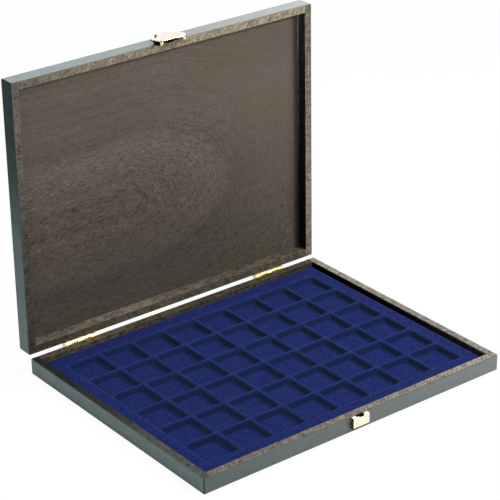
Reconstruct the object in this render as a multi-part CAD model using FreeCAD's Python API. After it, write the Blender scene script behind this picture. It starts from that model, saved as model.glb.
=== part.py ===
import FreeCAD, Part
import math
import os

# Hinged wooden presentation case with a flocked tray of square pockets, lid open.
# Millimetres. X runs along the hinge side, Y from the front to the back, Z up.
# The origin is the centre of the base's underside.
# The lid is built shut, on top of the base, and then turned about the hinge axis.

# How far a cutting shape runs past what it cuts
overrun = 1.0

# Case
case_length = 340.0
case_width = 270.0
wall = 8.0
base_height = 16.0
lid_height = 17.0
rim_gap = 0.3
lid_open_angle = 90.0
base_panel = 3.0
lid_panel = 5.0
panel_lap = 4.0
corner_round = 1.5
rim_round = 0.5

# Corner joint: the rails have tongues that sit in grooves in the sides
tongue_thickness = 3.0
tongue_length = 4.0
tongue_cover = 2.5

# Tray
tray_clearance = 0.3
tray_below_rim = 6.0
columns = 8
rows = 6
side_border = 13.7
end_border = 15.7
rib_top = 2.4
pocket_draft = 1.8
pocket_depth = 4.8

# Hinges
hinge_length = 35.0
hinge_from_end = 56.5
hinge_offset = 2.15
knuckle_radius = 1.7
knuckle_count = 5
knuckle_gap = 0.2
hinge_pin_radius = 0.9
running_clearance = 0.05
leaf_thickness = 0.8
leaf_width = 9.0
leaf_clearance = 0.35
stop_width = 3.0
stop_reach = 4.8
stop_root = 5.4
stop_gap = 0.05
shoulder_bite = 0.5
shoulder_clearance = 0.75

# Hinge screws
screw_spacing = 22.0
screw_drop = 6.8
screw_head_radius = 1.9
screw_radius = 1.0
screw_slot = 0.5
screw_end_cover = 2.0
fit_clearance = 0.03

# Catch on the front of the base
catch_width = 18.5
catch_height = 11.0
catch_depth = 4.0
catch_wall = 0.7
catch_below_rim = 0.6
mouth_width = 5.4
mouth_drop = 1.0
catch_round = 0.4
prong_height = 3.0
prong_cover = 3.0

# Latch plate on the front of the lid
plate_width = 22.0
plate_height = 13.7
plate_rise = 1.5
plate_thickness = 0.8
plate_corner = 1.5
curl_radius = 1.4
curl_inner = 2.6
curl_outer = 5.6

# Latch pin
latch_pin_radius = 0.7
latch_pin_rise = 10.0
latch_pin_stand = 2.5
rivet_radius = 1.1
rivet_thickness = 0.5

# Latch lever
hood_stand = 5.5
hood_sheet = 0.8
hood_skirt = 1.1
neck_half = 7.5
neck_top = 12.6
neck_foot = 7.0
wing_half = 17.0
wing_rise = 0.5
wing_drop = 3.0
lip_half = 15.0
lip_drop = 7.6
lip_radius = 0.9
lip_end_inset = 1.6
hood_corner = 1.2
hood_round = 0.5

# Snap tongue of the lever
tongue_half = 2.2
tongue_sheet = 0.6
tongue_root_rise = 5.0
tongue_bend_rise = 0.9
tongue_bend_stand = 1.35
tongue_tip_stand = 1.2
tongue_tip_drop = 6.2
hook_top = 1.85
hook_flat_top = 2.3
hook_flat_foot = 2.7
hook_foot = 3.6
hook_stand = 0.35

# Latch spring
spring_wire = 0.25
spring_half = 2.3
spring_slack = 0.2
spring_leg = 4.2
spring_leg_lean = 0.7

# Round-head nails of the latch plate
nail_head_radius = 1.0
nail_head_height = 0.5
nail_radius = 0.5
nail_from_centre = 9.3
nail_low = 8.8
nail_high = 13.2
nail_end_cover = 0.5

# Places worked out from the sizes above
half_length = case_length / 2
half_width = case_width / 2
inner_half_length = half_length - wall
inner_half_width = half_width - wall
lid_plane = base_height + rim_gap
hinge_y = half_width + hinge_offset
hinge_z = base_height + rim_gap / 2
hinge_centres = (hinge_from_end - half_length, half_length - hinge_from_end)
front_face = -half_width
tray_top = base_height - tray_below_rim
pocket_floor = tray_top - pocket_depth
tray_half_length = inner_half_length - tray_clearance
tray_half_width = inner_half_width - tray_clearance
column_pitch = (2 * tray_half_length - 2 * side_border) / columns
row_pitch = (2 * tray_half_width - 2 * end_border) / rows
leaf_face = half_width + leaf_thickness
screw_length = wall - screw_end_cover
nail_length = wall - panel_lap - nail_end_cover
catch_top = base_height - catch_below_rim
prong_length = wall - prong_cover


# Plain shapes

def box(x0, x1, y0, y1, z0, z1):
    return Part.makeBox(x1 - x0, y1 - y0, z1 - z0, FreeCAD.Vector(x0, y0, z0))


def prism_x(yz_points, x0, x1):
    """A prism along X on an outline of (y, z) points."""
    corners = [FreeCAD.Vector(x0, y, z) for y, z in yz_points]
    outline = Part.makePolygon(corners + corners[:1])
    return Part.Face(outline).extrude(FreeCAD.Vector(x1 - x0, 0, 0))


def prism_y(xz_points, y0, y1):
    """A prism along Y on an outline of (x, z) points."""
    corners = [FreeCAD.Vector(x, y0, z) for x, z in xz_points]
    outline = Part.makePolygon(corners + corners[:1])
    return Part.Face(outline).extrude(FreeCAD.Vector(0, y1 - y0, 0))


def rod_x(radius, x0, x1, y, z):
    return Part.makeCylinder(radius, x1 - x0, FreeCAD.Vector(x0, y, z), FreeCAD.Vector(1, 0, 0))


def rod_y(radius, y0, y1, x, z):
    return Part.makeCylinder(radius, y1 - y0, FreeCAD.Vector(x, y0, z), FreeCAD.Vector(0, 1, 0))


def edges_at(shape, test):
    """The edges whose middle point passes the test."""
    return [edge for edge in shape.Edges if test(edge.CenterOfMass)]


def near(a, b):
    return abs(a - b) < 1e-4


def joined(shapes):
    """One solid from overlapping or touching shapes, with no seams between them."""
    return shapes[0].fuse(shapes[1:]).removeSplitter()


def drilled(shape, tools):
    for tool in tools:
        shape = shape.cut(tool)
    return shape


def lid_side_up(shape):
    """Turns a half built like the base over, so that it lies shut on the base as the lid."""
    over = shape.mirror(FreeCAD.Vector(0, 0, 0), FreeCAD.Vector(0, 0, 1))
    over.translate(FreeCAD.Vector(0, 0, lid_plane + lid_height))
    return over


def opened(shape):
    """Turns a piece of the shut lid to the open rest pose."""
    turned = shape.copy()
    axis_point = FreeCAD.Vector(0, hinge_y, hinge_z)
    turned.rotate(axis_point, FreeCAD.Vector(1, 0, 0), -lid_open_angle)
    return turned


# Wooden halves

def wooden_ring(height):
    """The four walls of a half in one piece, outside face down at z = 0 and rim at the top."""
    outside = box(-half_length, half_length, -half_width, half_width, 0, height)

    def is_corner_or_foot(point):
        at_corner = near(abs(point.x), half_length) and near(abs(point.y), half_width)
        return at_corner or near(point.z, 0)

    outside = outside.makeFillet(corner_round, edges_at(outside, is_corner_or_foot))
    inside = box(-inner_half_length, inner_half_length, -inner_half_width, inner_half_width,
                 -overrun, height + overrun)
    ring = outside.cut(inside)
    return ring.makeFillet(rim_round, edges_at(ring, lambda point: near(point.z, height)))


def rail_tongues(height, panel, y_middle):
    """The tongues on both ends of a rail that runs along X."""
    y0 = y_middle - tongue_thickness / 2
    y1 = y_middle + tongue_thickness / 2
    z1 = height - tongue_cover
    right = box(inner_half_length, inner_half_length + tongue_length, y0, y1, panel, z1)
    left = box(-inner_half_length - tongue_length, -inner_half_length, y0, y1, panel, z1)
    return [left, right]


def wooden_half(height, panel):
    """The panel, the two sides and the two rails of a half, by name."""
    ring = wooden_ring(height)
    board = box(-inner_half_length - panel_lap, inner_half_length + panel_lap,
                -inner_half_width - panel_lap, inner_half_width + panel_lap, 0, panel)
    walls = ring.cut(board)
    rail_y = half_width - wall / 2
    front_tongues = rail_tongues(height, panel, -rail_y)
    rear_tongues = rail_tongues(height, panel, rail_y)
    rails = {}
    for name, y0, y1, tongues in (("front_rail", -half_width, -inner_half_width, front_tongues),
                                  ("rear_rail", inner_half_width, half_width, rear_tongues)):
        slice_box = box(-inner_half_length, inner_half_length, y0, y1, 0, height)
        rails[name] = joined([walls.common(slice_box)] + tongues)
    for name, x0, x1 in (("left_side", -half_length, -inner_half_length),
                         ("right_side", inner_half_length, half_length)):
        slice_box = box(x0, x1, -half_width, half_width, 0, height)
        rails[name] = drilled(walls.common(slice_box), front_tongues + rear_tongues)
    rails["panel"] = board
    return rails


# Tray

def capsule_tray():
    """The formed tray as its floor, its border and its ribs, which meet face to face.

    Every pocket widens upwards, so each rib is narrow at the top and wide at the foot.
    """
    grid_half_length = tray_half_length - side_border
    grid_half_width = tray_half_width - end_border
    top_half = rib_top / 2
    foot_half = top_half + pocket_draft

    def border_profile(outer, grid_edge, sign):
        return [(sign * outer, pocket_floor), (sign * outer, tray_top),
                (sign * (grid_edge - top_half), tray_top),
                (sign * (grid_edge - foot_half), pocket_floor)]

    def rib_profile(middle):
        return [(middle - foot_half, pocket_floor), (middle - top_half, tray_top),
                (middle + top_half, tray_top), (middle + foot_half, pocket_floor)]

    def gap_profile(low, high):
        return [(low + foot_half, pocket_floor), (low + top_half, tray_top),
                (high - top_half, tray_top), (high - foot_half, pocket_floor)]

    pieces = [box(-tray_half_length, tray_half_length, -tray_half_width, tray_half_width,
                  base_panel, pocket_floor)]
    lengthwise = []
    for sign in (-1, 1):
        lengthwise.append(prism_x(border_profile(tray_half_width, grid_half_width, sign),
                                  -tray_half_length, tray_half_length))
    between_ends = prism_x(gap_profile(-grid_half_width, grid_half_width),
                           -tray_half_length, tray_half_length)
    crosswise = []
    for sign in (-1, 1):
        side = prism_y(border_profile(tray_half_length, grid_half_length, sign),
                       -tray_half_width, tray_half_width)
        crosswise.append(side.common(between_ends))
    for column in range(1, columns):
        x = -grid_half_length + column * column_pitch
        rib = prism_y(rib_profile(x), -tray_half_width, tray_half_width)
        crosswise.append(rib.common(between_ends))
    short_ribs = []
    for column in range(columns):
        low = -grid_half_length + column * column_pitch
        gap = prism_y(gap_profile(low, low + column_pitch), -tray_half_width, tray_half_width)
        for row in range(1, rows):
            y = -grid_half_width + row * row_pitch
            bar = prism_x(rib_profile(y), low, low + column_pitch)
            short_ribs.append(bar.common(gap))
    solids = []
    for shape in pieces + lengthwise + crosswise + short_ribs:
        solids.extend(shape.Solids)
    return Part.makeCompound(solids)


# Hinges, built shut about their own middle: y and z are counted from the hinge axis

def knuckle_spans(first):
    """The X spans of every second knuckle, starting with knuckle number first."""
    pitch = hinge_length / knuckle_count
    spans = []
    for number in range(first, knuckle_count, 2):
        x0 = -hinge_length / 2 + number * pitch
        spans.append((x0 + knuckle_gap / 2, x0 + pitch - knuckle_gap / 2))
    return spans


def stop_shoulder(x0, x1, first_stand):
    """A gusset under the barrel whose 45 degree face meets the other leaf's when open."""
    slope = math.sqrt(0.5)
    leaf_y = leaf_thickness - hinge_offset

    def on_stop(distance):
        return ((distance - stop_gap / 2) * slope, -(distance + stop_gap / 2) * slope)

    outline = [(leaf_y, -stop_root - stop_reach / 2), (leaf_y, -first_stand),
               on_stop(first_stand), on_stop(stop_reach)]
    return prism_x(outline, x0, x1)


def hinge_leaf(first, shoulder_start):
    """A leaf that hangs below the axis, on the rear face, with its knuckles and stops."""
    plate_top = -(knuckle_radius + leaf_clearance)
    y0 = -hinge_offset
    y1 = leaf_thickness - hinge_offset
    half = hinge_length / 2
    plate = box(-half, half, y0, y1, plate_top - leaf_width, plate_top)
    shapes = [plate]
    for x0, x1 in knuckle_spans(first):
        shapes.append(box(x0, x1, y0, y1, plate_top - leaf_thickness, 0))
        shapes.append(rod_x(knuckle_radius, x0, x1, 0, 0))
    for x0, x1 in ((-half + knuckle_gap / 2, -half + stop_width),
                   (half - stop_width, half - knuckle_gap / 2)):
        shapes.append(stop_shoulder(x0, x1, shoulder_start))
    leaf = joined(shapes)
    bore = rod_x(hinge_pin_radius + running_clearance, -half - overrun, half + overrun, 0, 0)
    holes = [screw_place(screw_head(fit_clearance), x, -hinge_offset) for x in screw_xs()]
    return drilled(leaf, [bore] + holes)


def screw_xs():
    return (-screw_spacing / 2, screw_spacing / 2)


def screw_head(clearance):
    """A countersunk head as deep as the leaf, its flat face at y = leaf_thickness."""
    top = screw_head_radius + clearance
    foot = screw_radius + clearance
    start = FreeCAD.Vector(0, 0, 0)
    return Part.makeCone(foot, top, leaf_thickness, start, FreeCAD.Vector(0, 1, 0))


def screw_shank(clearance):
    return rod_y(screw_radius + clearance, -screw_length, 0, 0, 0)


def screw_body():
    """A countersunk slotted screw that points along -Y."""
    slot_half = screw_slot / 2
    slot = box(-screw_head_radius, screw_head_radius, leaf_thickness - screw_slot,
               leaf_thickness + overrun, -slot_half, slot_half)
    return joined([screw_head(0), screw_shank(0)]).cut(slot)


def screw_place(shape, x, y):
    placed = shape.copy()
    placed.translate(FreeCAD.Vector(x, y, -screw_drop))
    return placed


def at_hinge(shape, centre, above):
    """Moves a hinge piece to its hinge; a piece above the axis is the mirror of one below."""
    moved = shape.copy()
    if above:
        moved = moved.mirror(FreeCAD.Vector(0, 0, 0), FreeCAD.Vector(0, 0, 1))
    moved.translate(FreeCAD.Vector(centre, hinge_y, hinge_z))
    return moved


def hinge_parts(centre, above):
    """The leaf, the screws and the pilot holes of one half of a hinge."""
    first = 1 if above else 0
    own_knuckle = knuckle_radius - shoulder_bite
    clear_of_knuckle = knuckle_radius + shoulder_clearance
    leaf = hinge_leaf(first, clear_of_knuckle if above else own_knuckle)
    screws = [screw_place(screw_body(), x, -hinge_offset) for x in screw_xs()]
    pilots = [screw_place(screw_shank(fit_clearance), x, -hinge_offset) for x in screw_xs()]
    leaf, *others = [at_hinge(shape, centre, above) for shape in [leaf] + screws + pilots]
    return leaf, others[:len(screws)], others[len(screws):]


def hinge_pin(centre):
    half = hinge_length / 2
    return at_hinge(rod_x(hinge_pin_radius, -half, half, 0, 0), centre, False)


# Front hardware: stand is the distance in front of the wood, rise the height over a rim

def stand_box(x_half, stand0, stand1, z0, z1):
    return box(-x_half, x_half, front_face - stand1, front_face - stand0, z0, z1)


def prong_boxes():
    """Two flat prongs that continue the catch's side walls into the wood."""
    z_middle = catch_top - catch_height / 2
    prongs = []
    for x0 in (-catch_width / 2, catch_width / 2 - catch_wall):
        prongs.append(box(x0, x0 + catch_wall, front_face, front_face + prong_length,
                          z_middle - prong_height / 2, z_middle + prong_height / 2))
    return prongs


def catch_box():
    """A folded box, open towards the wood, with a mouth for the tongue cut down from its top."""
    half = catch_width / 2
    catch_foot = catch_top - catch_height
    outer = stand_box(half, 0, catch_depth, catch_foot, catch_top)
    front = front_face - catch_depth
    outer = outer.makeFillet(catch_round, edges_at(outer, lambda point: near(point.y, front)))
    inner = stand_box(half - catch_wall, -overrun, catch_depth - catch_wall,
                      catch_foot + catch_wall, catch_top - catch_wall)
    mouth = stand_box(mouth_width / 2, catch_wall, catch_depth + overrun,
                      catch_top - mouth_drop, catch_top + overrun)
    return joined([outer.cut(inner).cut(mouth)] + prong_boxes())


def latch_axis():
    return front_face - latch_pin_stand, lid_plane + latch_pin_rise


def latch_plate():
    """The plate on the lid's front, with two curls that carry the latch pin."""
    axis_y, axis_z = latch_axis()
    z0 = lid_plane + plate_rise
    plate = stand_box(plate_width / 2, 0, plate_thickness, z0, z0 + plate_height)

    def is_corner(point):
        return near(abs(point.x), plate_width / 2) and near(point.y, front_face - plate_thickness / 2)

    plate = plate.makeFillet(plate_corner, edges_at(plate, is_corner))
    shapes = [plate]
    for x0, x1 in ((-curl_outer, -curl_inner), (curl_inner, curl_outer)):
        shapes.append(rod_x(curl_radius, x0, x1, axis_y, axis_z))
        shapes.append(box(x0, x1, axis_y, front_face - plate_thickness / 2,
                          axis_z - curl_radius, axis_z))
    bore = rod_x(latch_pin_radius + running_clearance, -plate_width, plate_width, axis_y, axis_z)
    holes = nail_shapes(nail_shank, fit_clearance)
    return drilled(joined(shapes).cut(bore), holes)


def latch_pin():
    """A pin through the lever's neck and the plate's curls, riveted over at both ends."""
    axis_y, axis_z = latch_axis()
    reach = neck_half + running_clearance
    shank = rod_x(latch_pin_radius, -reach, reach, axis_y, axis_z)
    heads = [rod_x(rivet_radius, x0, x0 + rivet_thickness, axis_y, axis_z)
             for x0 in (-reach - rivet_thickness, reach)]
    return joined([shank] + heads)


def hood_outline(inset, end_drop):
    """The lever seen from the front: a narrow neck that flares to wings and a lip."""
    right = [(neck_half - inset, neck_top - inset), (neck_half - inset, neck_foot),
             (wing_half - inset, wing_rise), (wing_half - inset, -wing_drop),
             (lip_half - inset, -end_drop)]
    points = right + [(-x, rise) for x, rise in reversed(right)]
    return [(x, lid_plane + rise) for x, rise in points]


def latch_tongue():
    """The snap tongue, bent in from the hood and down, with a hook towards the wood."""
    half_sheet = tongue_sheet / 2
    root_stand = hood_stand - hood_sheet / 2

    def point(stand, rise):
        return (front_face - stand, lid_plane + rise)

    outline = [point(root_stand, tongue_root_rise + half_sheet),
               point(tongue_bend_stand - half_sheet, tongue_bend_rise + half_sheet),
               point(tongue_tip_stand - half_sheet, -hook_top),
               point(hook_stand, -hook_flat_top),
               point(hook_stand, -hook_flat_foot),
               point(tongue_tip_stand - half_sheet, -hook_foot),
               point(tongue_tip_stand - half_sheet, -tongue_tip_drop),
               point(tongue_tip_stand + half_sheet, -tongue_tip_drop),
               point(tongue_bend_stand + half_sheet, tongue_bend_rise - half_sheet),
               point(root_stand, tongue_root_rise - half_sheet)]
    return prism_x(outline, -tongue_half, tongue_half)


def latch_lever():
    """The hood with its skirt, its rolled lip and its snap tongue, on the latch pin."""
    axis_y, axis_z = latch_axis()
    front = front_face - hood_stand
    solid = prism_y(hood_outline(0, lip_drop), front, front_face - hood_skirt)

    def is_plan_corner(point):
        above_lip = point.z > lid_plane - (wing_drop + lip_drop) / 2
        return near(point.y, (front + front_face - hood_skirt) / 2) and above_lip

    solid = solid.makeFillet(hood_corner, edges_at(solid, is_plan_corner))

    def is_front_rim(point):
        return near(point.y, front) and not near(point.z, lid_plane - lip_drop)

    solid = solid.makeFillet(hood_round, edges_at(solid, is_front_rim))
    hollow = prism_y(hood_outline(hood_sheet, lip_drop + overrun), front + hood_sheet, front_face)
    lip_reach = lip_half - lip_end_inset
    lip = rod_x(lip_radius, -lip_reach, lip_reach, front + hood_sheet / 2, lid_plane - lip_drop)
    hood = joined([solid.cut(hollow), lip, latch_tongue()])
    bore_half = neck_half + overrun
    bore = rod_x(latch_pin_radius + running_clearance, -bore_half, bore_half, axis_y, axis_z)
    return hood.cut(bore)


def latch_spring():
    """The return spring on the latch pin: a close coil as a sleeve, with two wire legs."""
    axis_y, axis_z = latch_axis()
    bore = latch_pin_radius + spring_slack
    coil = rod_x(bore + 2 * spring_wire, -spring_half, spring_half, axis_y, axis_z)
    leg_x = spring_half - spring_wire
    plate_leg_y = front_face - plate_thickness - spring_wire - running_clearance
    hood_leg_y = front_face - hood_stand + hood_sheet + spring_wire + running_clearance
    legs = []
    for x, y in ((-leg_x, plate_leg_y), (leg_x, hood_leg_y)):
        start = FreeCAD.Vector(x, axis_y + (y - axis_y) * spring_leg_lean, axis_z)
        end = FreeCAD.Vector(x, y, axis_z - spring_leg)
        legs.append(Part.makeCylinder(spring_wire, (end - start).Length, start, end - start))
    hole = rod_x(bore, -spring_half - overrun, spring_half + overrun, axis_y, axis_z)
    return joined([coil] + legs).cut(hole)


def nail_shank(clearance):
    return rod_y(nail_radius + clearance, -plate_thickness, nail_length, 0, 0)


def nail_body(clearance):
    """A round-head nail that points along +Y, its head on the plate."""
    ball_radius = (nail_head_radius ** 2 + nail_head_height ** 2) / (2 * nail_head_height)
    seat = -plate_thickness
    ball = Part.makeSphere(ball_radius, FreeCAD.Vector(0, seat - nail_head_height + ball_radius, 0))
    keep = box(-ball_radius, ball_radius, seat - nail_head_height - overrun, seat,
               -ball_radius, ball_radius)
    return joined([ball.common(keep), nail_shank(clearance)])


def nail_shapes(maker, clearance):
    """One copy of a nail or its hole at each corner place of the latch plate."""
    shapes = []
    for x in (-nail_from_centre, nail_from_centre):
        for rise in (nail_low, nail_high):
            shape = maker(clearance)
            shape.translate(FreeCAD.Vector(x, front_face, lid_plane + rise))
            shapes.append(shape)
    return shapes


# The whole case, node by node

def group(shapes):
    return Part.makeCompound([solid for shape in shapes for solid in shape.Solids])


def case_nodes():
    """Every node's name and its shape at rest, with the lid open."""
    nodes = {}
    base = wooden_half(base_height, base_panel)
    lid = {name: lid_side_up(shape) for name, shape in wooden_half(lid_height, lid_panel).items()}
    for centre, side in zip(hinge_centres, ("left", "right")):
        leaf, screws, pilots = hinge_parts(centre, above=False)
        base["rear_rail"] = drilled(base["rear_rail"], pilots)
        nodes[side + "_hinge_base_leaf"] = leaf
        nodes[side + "_hinge_base_screws"] = group(screws)
        nodes[side + "_hinge_pin"] = hinge_pin(centre)
        leaf, screws, pilots = hinge_parts(centre, above=True)
        lid["rear_rail"] = drilled(lid["rear_rail"], pilots)
        nodes[side + "_hinge_lid_leaf"] = opened(leaf)
        nodes[side + "_hinge_lid_screws"] = opened(group(screws))
    base["front_rail"] = drilled(base["front_rail"], prong_boxes())
    lid["front_rail"] = drilled(lid["front_rail"], nail_shapes(nail_shank, fit_clearance))
    for part in ("left_side", "right_side", "front_rail", "rear_rail"):
        nodes["base_" + part] = base[part]
        nodes["lid_" + part] = opened(lid[part])
    nodes["base_bottom_panel"] = base["panel"]
    nodes["lid_top_panel"] = opened(lid["panel"])
    nodes["capsule_tray"] = capsule_tray()
    nodes["catch_box"] = catch_box()
    nodes["latch_plate"] = opened(latch_plate())
    nodes["latch_plate_nails"] = opened(group(nail_shapes(nail_body, 0)))
    nodes["latch_pin"] = opened(latch_pin())
    nodes["latch_spring"] = opened(latch_spring())
    nodes["latch_lever"] = opened(latch_lever())
    return nodes


os.makedirs("parts", exist_ok=True)
for node, shape in case_nodes().items():
    shape.exportStep("parts/" + node + ".step")
    print(node, len(shape.Solids), "solids, valid", shape.isValid(), "volume", round(shape.Volume, 2))
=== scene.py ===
import math

import bmesh
import bpy
from mathutils import Matrix, Vector, noise


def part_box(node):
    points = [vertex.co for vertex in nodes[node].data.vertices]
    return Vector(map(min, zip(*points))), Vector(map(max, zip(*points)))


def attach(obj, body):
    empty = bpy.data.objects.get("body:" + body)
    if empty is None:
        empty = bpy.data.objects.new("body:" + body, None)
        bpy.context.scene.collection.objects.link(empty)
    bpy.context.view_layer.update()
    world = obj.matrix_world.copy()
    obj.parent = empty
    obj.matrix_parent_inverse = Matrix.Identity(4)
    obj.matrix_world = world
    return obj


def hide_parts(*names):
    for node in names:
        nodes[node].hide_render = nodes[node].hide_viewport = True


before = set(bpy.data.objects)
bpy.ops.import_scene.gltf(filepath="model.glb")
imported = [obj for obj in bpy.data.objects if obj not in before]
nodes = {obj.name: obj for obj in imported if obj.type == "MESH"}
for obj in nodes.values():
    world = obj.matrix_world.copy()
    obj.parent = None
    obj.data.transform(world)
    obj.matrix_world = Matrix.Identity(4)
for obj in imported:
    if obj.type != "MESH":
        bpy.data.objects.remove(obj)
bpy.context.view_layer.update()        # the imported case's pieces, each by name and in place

mm = 0.001
print("frame loaded:", len(nodes), "pieces")


# Shader graphs

def paint(red, green, blue):
    # a colour as it is seen on a screen, 0 to 255, turned into the linear one that shaders take
    shares = [channel / 255 for channel in (red, green, blue)]
    linear = (s / 12.92 if s <= 0.04045 else ((s + 0.055) / 1.055) ** 2.4 for s in shares)
    return (*linear, 1.0)


edgeTurn = (0.8, 0.97)      # the largest part of a normal, on a rounded edge and on a flat face


def uneven(weights, textures):
    # a brightness round 1, swung by each texture as far as its weight says
    shade = 1.0
    for kind, weight in weights.items():
        shade = shade + weight * (textures[kind] - 0.5)
    return shade


class Wire:
    # one output of a node; sums with it become Math nodes

    def __init__(self, net, socket):
        self.net = net
        self.socket = socket

    def maths(self, operation, first, second):
        return self.net.node("ShaderNodeMath", {"operation": operation}, {0: first, 1: second})

    def __add__(self, other):
        return self.maths("ADD", self, other)

    def __radd__(self, other):
        return self.maths("ADD", other, self)

    def __sub__(self, other):
        return self.maths("SUBTRACT", self, other)

    def __rsub__(self, other):
        return self.maths("SUBTRACT", other, self)

    def __mul__(self, other):
        return self.maths("MULTIPLY", self, other)

    def __rmul__(self, other):
        return self.maths("MULTIPLY", other, self)

    def __pow__(self, other):
        return self.maths("POWER", self, other)

    def __abs__(self):
        return self.maths("ABSOLUTE", self, 0.0)

    def least(self, other):
        return self.maths("MINIMUM", self, other)

    def most(self, other):
        return self.maths("MAXIMUM", self, other)


class Net:
    # the nodes of a material or of the world

    def __init__(self, owner):
        owner.use_nodes = True
        self.owner = owner
        self.tree = owner.node_tree
        self.tree.nodes.clear()

    def node(self, kind, settings, inputs, output=0):
        made = self.tree.nodes.new(kind)
        for name, value in settings.items():
            if name == "stops":
                self.placeStops(made.color_ramp, value)
            else:
                setattr(made, name, value)
        for name, value in inputs.items():
            if isinstance(value, Wire):
                self.tree.links.new(value.socket, made.inputs[name])
            else:
                made.inputs[name].default_value = value
        return Wire(self, made.outputs[output]) if made.outputs else None

    def placeStops(self, ramp, stops):
        while len(ramp.elements) < len(stops):
            ramp.elements.new(0.5)
        for element, (position, grey) in zip(ramp.elements, stops):
            element.position = position
            element.color = (grey, grey, grey, 1.0)

    def place(self):
        # the spot on the resting case, in metres; it stays on the piece when the case is posed
        return self.node("ShaderNodeTexCoord", {}, {}, "Object")

    def facing(self):
        # the way that the surface faces, turned with the piece
        return self.axes(self.node("ShaderNodeTexCoord", {}, {}, "Normal"))

    def rounding(self):
        # 1 on a rounded edge, 0 on the flat faces
        x, y, z = self.facing()
        return self.ramp(abs(x).most(abs(y)).most(abs(z)), *edgeTurn, 1.0, 0.0)

    def axes(self, vector):
        return [self.node("ShaderNodeSeparateXYZ", {}, {0: vector}, axis) for axis in "XYZ"]

    def joined(self, x, y, z):
        return self.node("ShaderNodeCombineXYZ", {}, {"X": x, "Y": y, "Z": z})

    def ramp(self, value, low, high, atLow=0.0, atHigh=1.0):
        # a soft step from low to high; what the pieces call a turn is such a pair
        return self.node("ShaderNodeMapRange", {"interpolation_type": "SMOOTHSTEP"},
                         {"Value": value, "From Min": low, "From Max": high,
                          "To Min": atLow, "To Max": atHigh})

    def profile(self, along, value):
        # a plain number, or pairs of a place in mm and the value there, straight lines in between
        if not isinstance(value, list):
            return value
        start, end = value[0][0], value[-1][0]
        most = max(level for place, level in value)
        stops = [((place - start) / (end - start), level / most) for place, level in value]
        share = (along - start * mm) * (1 / ((end - start) * mm))
        return self.node("ShaderNodeValToRGB", {"stops": stops}, {0: share}) * most

    def dimmed(self, colour, share):
        return self.node("ShaderNodeVectorMath", {"operation": "SCALE"}, {0: colour, "Scale": share})

    def mix(self, factor, first, second):
        return self.node("ShaderNodeMix", {"data_type": "RGBA"}, {0: factor, 6: first, 7: second}, 2)

    def cloud(self, vector, texture, seed=0.0):
        # a texture is how fine it is along each axis, its shift of the seed, its detail and roughness
        fineness, shift, detail, roughness = texture
        start = seed + shift
        spot = self.node("ShaderNodeVectorMath", {"operation": "MULTIPLY_ADD"},
                         {0: vector, 1: fineness, 2: (start, 1.7 * start + 3.1, 5.3 - 0.6 * start)})
        return self.node("ShaderNodeTexNoise", {}, {"Vector": spot, "Scale": 1.0, "Detail": detail,
                                                    "Roughness": roughness})

    def finish(self, **sockets):
        # bump is a pair: a height and how deep it is in metres
        shader = {name.replace("_", " "): value for name, value in sockets.items()
                  if name != "bump"}
        if "bump" in sockets:
            height, depth = sockets["bump"]
            shader["Normal"] = self.node("ShaderNodeBump", {},
                                         {"Height": height, "Distance": depth, "Strength": 1.0})
        surface = self.node("ShaderNodeBsdfPrincipled", {}, shader)
        self.node("ShaderNodeOutputMaterial", {}, {"Surface": surface})
        return self.owner


# Pieces

def wear(node, material):
    # gives a carried over piece its finish
    slots = nodes[node].material_slots
    for slot in slots:
        slot.material = material
    if not slots:
        nodes[node].data.materials.append(material)


def placed(name, data):
    # a new object in the scene: a mesh, a lamp or the camera
    made = bpy.data.objects.new(name, data)
    bpy.context.scene.collection.objects.link(made)
    return made


def formed(name, mesh):
    # a new object from a mesh that is done being shaped
    data = bpy.data.meshes.new(name)
    mesh.to_mesh(data)
    mesh.free()
    return placed(name, data)


# Outside of a wooden half: thin grey-green lacquer over dark wood

lacquer = {
    "green": paint(82, 98, 92),
    "violet": paint(91, 97, 102),
    # a pale grey that the lacquer takes as a haze, and also as painted sheen where a face is to look
    # lighter
    "bloomSheenColour": paint(150, 149, 148),
    # a dark colour for every rounded edge: painted shade, the dark line where an edge turns away from
    # the light and down to the floor
    "edgeShade": paint(26, 29, 27),
    "edgeShadeShare": 0.85,             # how much of the painted shade a rounded edge takes
    "skin": 0.46 * mm,              # how far in from an outside face the lacquer reaches
    "skinBlur": 0.04 * mm,
    "coatRoughness": 0.3,
    "tint": ((70, 70, 70), 21, 2, 0.5),
    "tintTurn": (0.4, 0.6),
    "veil": ((60, 420, 420), 27, 3, 0.6),
    "grit": ((700, 700, 700), 33, 2, 0.6),
    "shade": {"veil": 0.4, "grit": 0.5},
}


def halfBox(half):
    # lowest and highest corner of all that belongs to the base or to the lid in wood
    boxes = [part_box(name) for name in woodPieces if name.startswith(half + "_")]
    low = [min(box[0][axis] for box in boxes) for axis in range(3)]
    high = [max(box[1][axis] for box in boxes) for axis in range(3)]
    return low, high


def outsideDistances(net, spot, half):
    # distance in metres from the nearest outside face, and from the rim's plane
    low, high = halfBox(half)
    x, y, z = net.axes(spot)
    fromSides = high[0] - abs(x)
    if half == "base":
        return fromSides.least(high[1] - abs(y)).least(z - low[2]), high[2] - z
    middle = (low[2] + high[2]) / 2
    return fromSides.least(high[1] - y).least((high[2] - middle) - abs(z - middle)), y - low[1]


def inSkin(net, nearest):
    # 1 in the lacquer, 0 in the wood further in
    return net.ramp(nearest, lacquer["skin"] - lacquer["skinBlur"],
                    lacquer["skin"] + lacquer["skinBlur"], 1.0, 0.0)


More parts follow.
